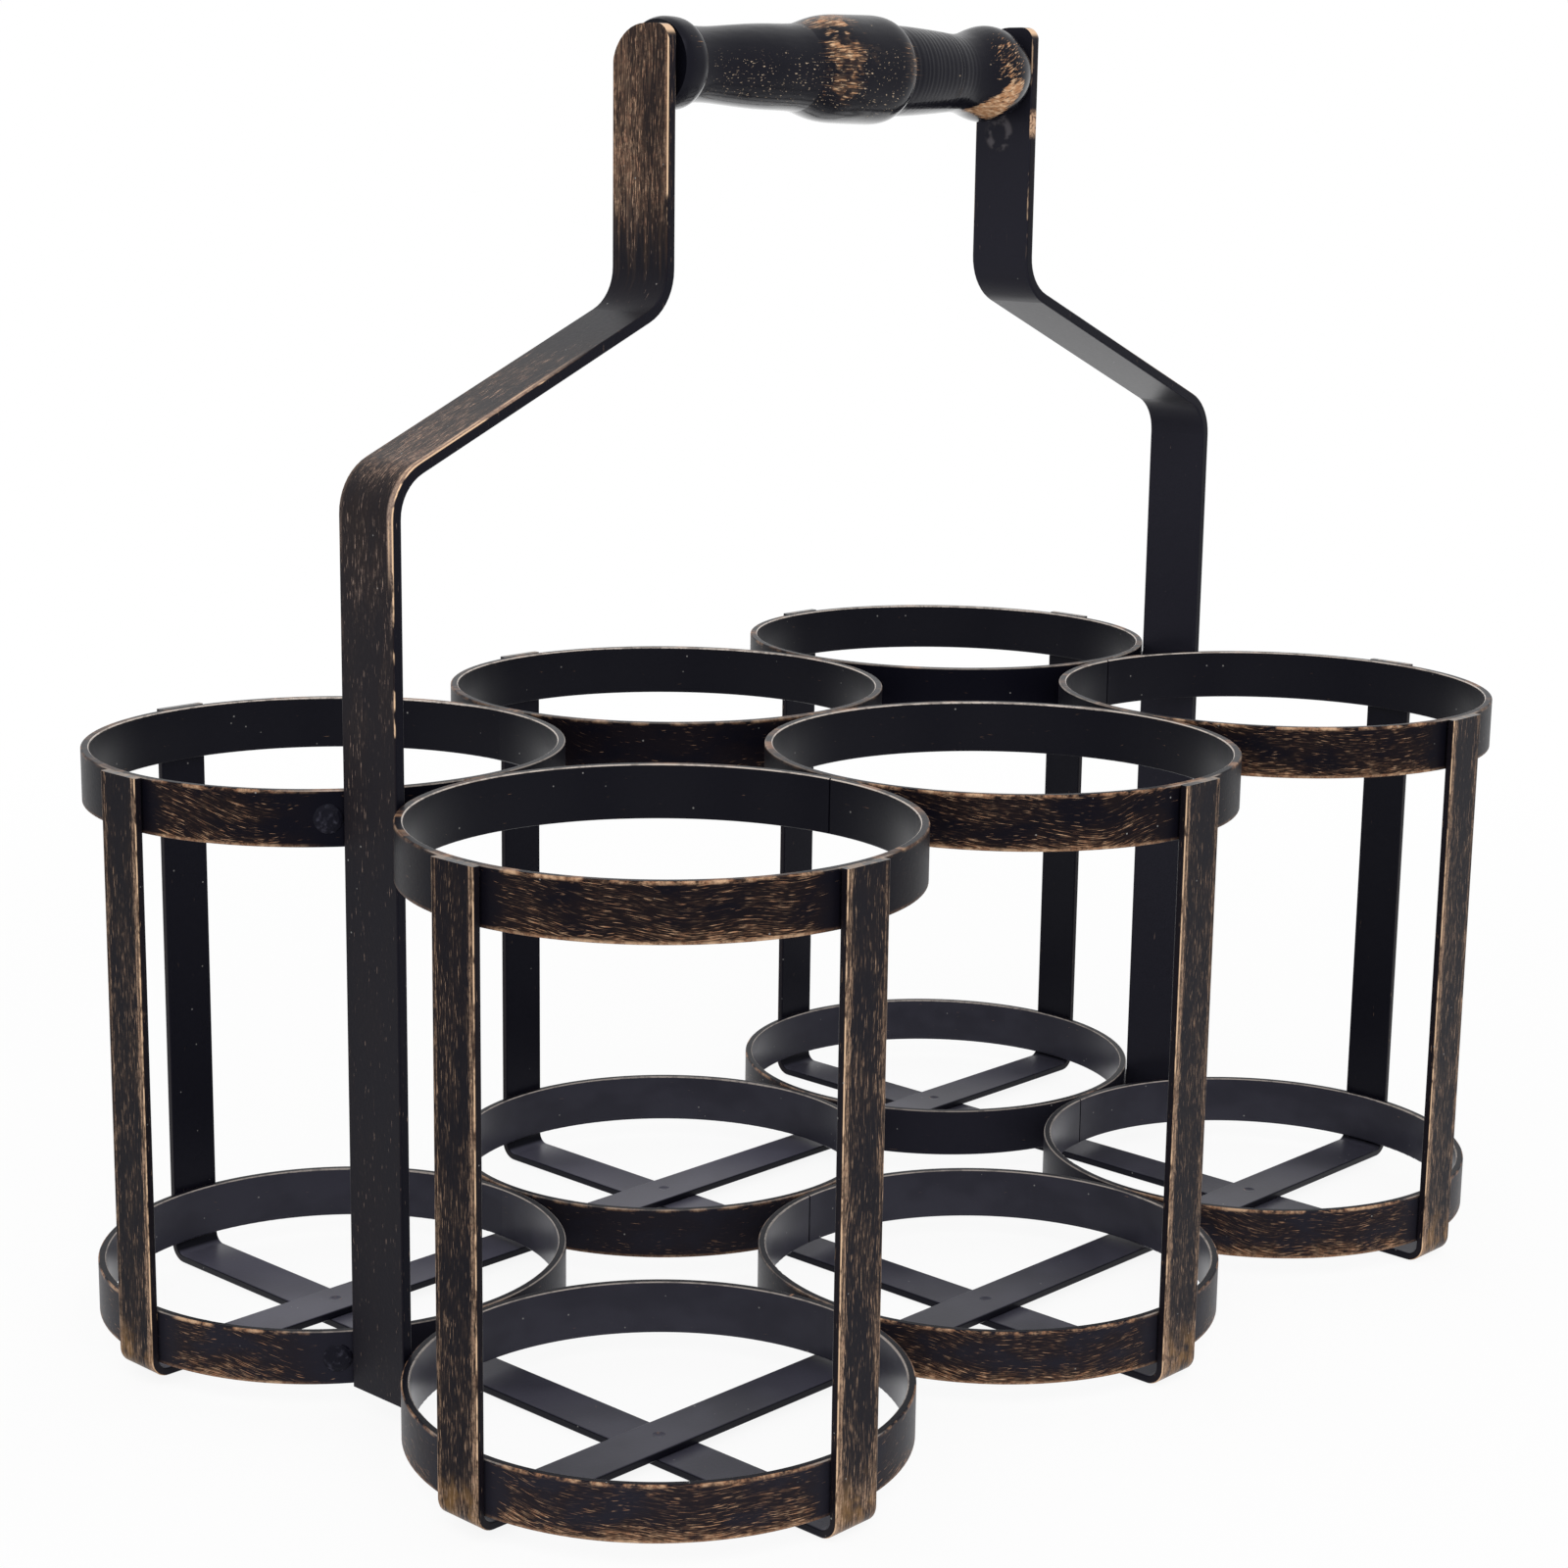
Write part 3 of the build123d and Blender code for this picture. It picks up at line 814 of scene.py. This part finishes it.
class CADDY_OT_lacquer_grip(bpy.types.Operator):
    """Lacquers the grip and rubs bronze through on its crests"""

    bl_idname = "caddy.lacquer_grip"
    bl_label = "Lacquer the grip"

    def execute(self, context):
        grip = context.scene.caddy_grip
        finish = Finish("grip lacquer")
        x, y = finish.x, finish.y
        up = finish.z - GRIP_LEVEL
        angle = finish.maths("ARCTAN2", up, -y) * (180 / math.pi)
        girth = angle * GIRTH_PER_DEGREE
        ragged = x + (finish.noise(girth / 0.35, 2.0, 5.0, detail=1.0) - 0.5) * 14
        turned = angle + (finish.noise(x / 2.5, girth / 2, 6.0, detail=1.0) - 0.5) * 60

        def spots(patches):
            """Ragged patches, with the strongest one where they overlap."""
            made = 0.0
            for place, reach, turn, spread, strength in patches:
                patch = ragged.near(place, reach) * turned.near(turn, spread)
                made = (patch * strength).at_least(made)
            return made

        # The crest of the barrel
        hair = finish.noise(x / 3.4, girth / 0.30, 3.0, detail=3.0, roughness=0.65)
        crest = spots(CREST_PATCHES)
        gate = 0.74 - 0.31 * crest
        rubbed = hair.rise(gate, gate + 0.15) * crest.rise(0.0, 0.35)
        rubbed = rubbed.at_least(crest.rise(0.3, 1.0) * 0.10)

        # The right bead: one solid patch low in front, flecks above it
        slope = (angle + 11.0) * 0.085
        reach = 2.9 - (angle + 11.0) * 0.035
        solid = (abs(x - 42.4 - slope) / reach).fall(0.5, 1.15)
        solid = solid * angle.between(-86.0, -66.0, -14.0, 2.0)
        rake = finish.noise((x + girth * 0.6) / 2.2, (girth - x * 0.6) / 0.35, 9.0, detail=2.0)
        gate = 0.76 - 0.48 * solid
        rubbed = rubbed.at_least(rake.rise(gate, gate + 0.20) * solid.rise(0.0, 0.25))
        bead = spots(BEAD_PATCHES)
        gate = 0.75 - 0.22 * bead
        rubbed = rubbed.at_least(rake.rise(gate, gate + 0.12) * bead.rise(0.0, 0.3) * 0.9)

        # A nick on the left bead
        nick = spots(NICK_PATCHES)
        gate = 0.84 - 0.22 * nick
        rubbed = rubbed.at_least(hair.rise(gate, gate + 0.06) * nick.rise(0.0, 0.3) * 0.7)

        # Painted highlights: pale lines at the turned shoulders, where the lacquer's curve would
        # catch the light
        shoulder = x.near(BARREL_END, 0.5) * angle.rise(-75.0, -50.0)
        shoulder = shoulder.at_least(x.near(LEFT_BEAD_END, 0.4) * 0.8)
        pale = shoulder * finish.noise(girth / 2.5, x, 12.0, detail=3.0).rise(0.35, 0.6) * 0.5

        # Fine splashes on the left taper and the barrel
        lower = angle.between(-72.0, -40.0, 5.0, 30.0)
        field = x.between(-41.0, -37.0, 6.0, 11.0) * lower
        splash = finish.noise(x / 0.9, girth / 0.32, 21.0, detail=2.0, roughness=0.6)
        crowd = finish.noise(x / 4.0, girth / 2.0, 23.0, detail=1.0)
        gate = 0.775 - 0.20 * crowd - 0.02 * field
        few = finish.dots(3.0, 0.09, x, girth * 1.3, 5.0)
        splash_and_glint = (splash.rise(gate, gate + 0.03) * field).at_least(few * 0.5).at_least(pale)

        # The lathe's rings on the right taper
        lathed = x.between(13.0, 14.5, 31.0, 34.0)
        radians_per_mm = 2 * math.pi / (grip.ring_spacing * MM)
        wobble = finish.noise(x / 2.5, 0.0, 0.0, detail=1.0)
        wave = finish.maths("SINE", (x + (wobble - 0.5) * 1.6) * radians_per_mm)
        deep = x.near(DEEP_RINGS, 1.4)
        smooth = finish.noise(x / 8, girth / 4, 1.0, detail=2.0)
        height = lathed * wave * (0.3 + 0.9 * deep + wobble) * 0.000024
        normal = finish.bump(height + smooth * 0.00012 - rubbed * 0.00001)

        # Glossy where it is plain, most of all on the underside
        warm = finish.noise(x / 1.5, girth / 0.7, 7.0, detail=3.0).rise(0.42, 0.68)
        gold = finish.mix(warm * 0.75, grip.gold, grip.pale_gold)
        base = finish.mix(rubbed, grip.lacquer, gold)
        base = finish.mix(splash_and_glint * 0.85, base, grip.splash)
        roughness = grip.roughness + rubbed * 0.2 + (smooth - 0.5) * 0.08
        facing_up = finish.nz.rise(-0.45, 0.3)
        coat = finish.glancing(0.34, 0.82) * (1 - rubbed) * (1 - 0.92 * facing_up)
        lacquered = finish.surface(
            base, roughness, rubbed * BRONZE_METAL, normal, grip.shine, coat, GRIP_COAT_ROUGHNESS
        )
        give(["handle_grip"], lacquered)
        return {"FINISHED"}


class CADDY_OT_set_stage(bpy.types.Operator):
    """Builds the pale floor, the soft light and the camera"""

    bl_idname = "caddy.set_stage"
    bl_label = "Set the stage"

    def execute(self, context):
        stage = context.scene.caddy_stage
        self.lay_floor(context, stage)
        self.light_room(context, stage)
        self.place_camera(context)
        context.scene.view_settings.view_transform = "Standard"
        return {"FINISHED"}

    def lay_floor(self, context, stage):
        shape = bmesh.new()
        bmesh.ops.create_grid(shape, x_segments=8, y_segments=8, size=stage.floor_size / 2)
        mesh = bpy.data.meshes.new("floor")
        shape.to_mesh(mesh)
        shape.free()
        floor = bpy.data.objects.new("floor", mesh)
        context.scene.collection.objects.link(floor)
        floor.location.z = -FLOOR_DROP
        finish = Finish("floor")
        grain = finish.noise(finish.x / 40, finish.y / 40, 0.0, detail=3.0)
        tone = finish.mix(grain * 0.1, stage.floor, stage.grain)
        matte = finish.node(
            "ShaderNodeBsdfPrincipled",
            values={"Base Color": tone, "Roughness": 0.9, "Specular IOR Level": 0.1},
        )
        white = finish.node("ShaderNodeEmission", values={"Color": WHITE, "Strength": 1.0})

        # The camera sees white, darker by a share of the shadow near the caddy
        seen, mirrored = finish.backdrop()
        away = finish.maths("SQRT", finish.x * finish.x + finish.y * finish.y)
        reach = stage.shadow_reach * MM
        shadow = away.fall(reach * 0.4, reach) * stage.shadow
        factor = (seen * (1 - shadow)).at_least(mirrored)
        mixed = finish.node(
            "ShaderNodeMixShader",
            values={0: factor, 1: matte.outputs[0], 2: white.outputs[0]},
        )
        finish.node("ShaderNodeOutputMaterial", values={"Surface": mixed.outputs[0]})
        floor.data.materials.append(finish.material)

    def light_room(self, context, stage):
        world = bpy.data.worlds.new("room")
        context.scene.world = world
        room = Tree(world)
        seen, mirrored = room.backdrop()
        soft = room.node("ShaderNodeBackground", values={"Color": WHITE, "Strength": stage.room})
        white = room.node("ShaderNodeBackground", values={"Color": WHITE, "Strength": 1.0})
        mixed = room.node(
            "ShaderNodeMixShader",
            values={0: seen.at_least(mirrored), 1: soft.outputs[0], 2: white.outputs[0]},
        )
        room.node("ShaderNodeOutputWorld", values={"Surface": mixed.outputs[0]})
        lamp = bpy.data.lights.new("soft lamp", "AREA")
        lamp.shape = "DISK"
        lamp.size = stage.lamp_size
        lamp.energy = stage.lamp
        holder = bpy.data.objects.new("soft lamp", lamp)
        holder.location = LAMP_PLACE
        aim = Vector(LAMP_AIM) - holder.location
        holder.rotation_mode = "QUATERNION"
        holder.rotation_quaternion = aim.to_track_quat("-Z", "Y")
        context.scene.collection.objects.link(holder)

    def place_camera(self, context):
        level = math.cos(CAMERA_PITCH)
        ahead = Vector(
            (math.sin(CAMERA_YAW) * level, math.cos(CAMERA_YAW) * level, -math.sin(CAMERA_PITCH))
        )
        right = Vector((math.cos(CAMERA_YAW), -math.sin(CAMERA_YAW), 0.0))
        up = right.cross(ahead)
        right, up = (
            math.cos(CAMERA_ROLL) * right + math.sin(CAMERA_ROLL) * up,
            math.cos(CAMERA_ROLL) * up - math.sin(CAMERA_ROLL) * right,
        )
        data = bpy.data.cameras.new("camera")
        data.sensor_width = CAMERA_SENSOR
        data.lens = CAMERA_LENS
        data.clip_start = CAMERA_NEAR
        data.clip_end = CAMERA_FAR
        camera = bpy.data.objects.new("camera", data)
        turn = Matrix((right, up, -ahead)).transposed().to_4x4()
        camera.matrix_world = Matrix.Translation(CAMERA_PLACE) @ turn
        context.scene.collection.objects.link(camera)
        context.scene.camera = camera


OPERATORS = (
    CADDY_OT_paint_rings,
    CADDY_OT_paint_long_straps,
    CADDY_OT_paint_cross_straps,
    CADDY_OT_paint_handle_straps,
    CADDY_OT_paint_welds,
    CADDY_OT_paint_rod,
    CADDY_OT_lacquer_grip,
    CADDY_OT_set_stage,
)
GROUPS = {
    "caddy_paint": CaddyPaint,
    "caddy_brush": CaddyBrush,
    "caddy_grip": CaddyGrip,
    "caddy_stage": CaddyStage,
}


class VIEW3D_PT_caddy(bpy.types.Panel):
    """Lists the caddy's finishes"""

    bl_label = "Bottle caddy"
    bl_space_type = "VIEW_3D"
    bl_region_type = "UI"
    bl_category = "Caddy"

    def draw(self, context):
        for operator in OPERATORS:
            self.layout.operator(operator.bl_idname)
        for name, group in GROUPS.items():
            box = self.layout.box()
            for prop in group.__annotations__:
                box.prop(getattr(context.scene, name), prop)


def register():
    for kind in (*GROUPS.values(), *OPERATORS, VIEW3D_PT_caddy):
        bpy.utils.register_class(kind)
    for name, group in GROUPS.items():
        setattr(bpy.types.Scene, name, PointerProperty(type=group))


def unregister():
    for name in GROUPS:
        delattr(bpy.types.Scene, name)
    for kind in (VIEW3D_PT_caddy, *reversed(OPERATORS), *reversed(list(GROUPS.values()))):
        bpy.utils.unregister_class(kind)


def main():
    register()
    for operator in OPERATORS:
        group, name = operator.bl_idname.split(".")
        getattr(getattr(bpy.ops, group), name)()


if __name__ == "__main__":
    main()
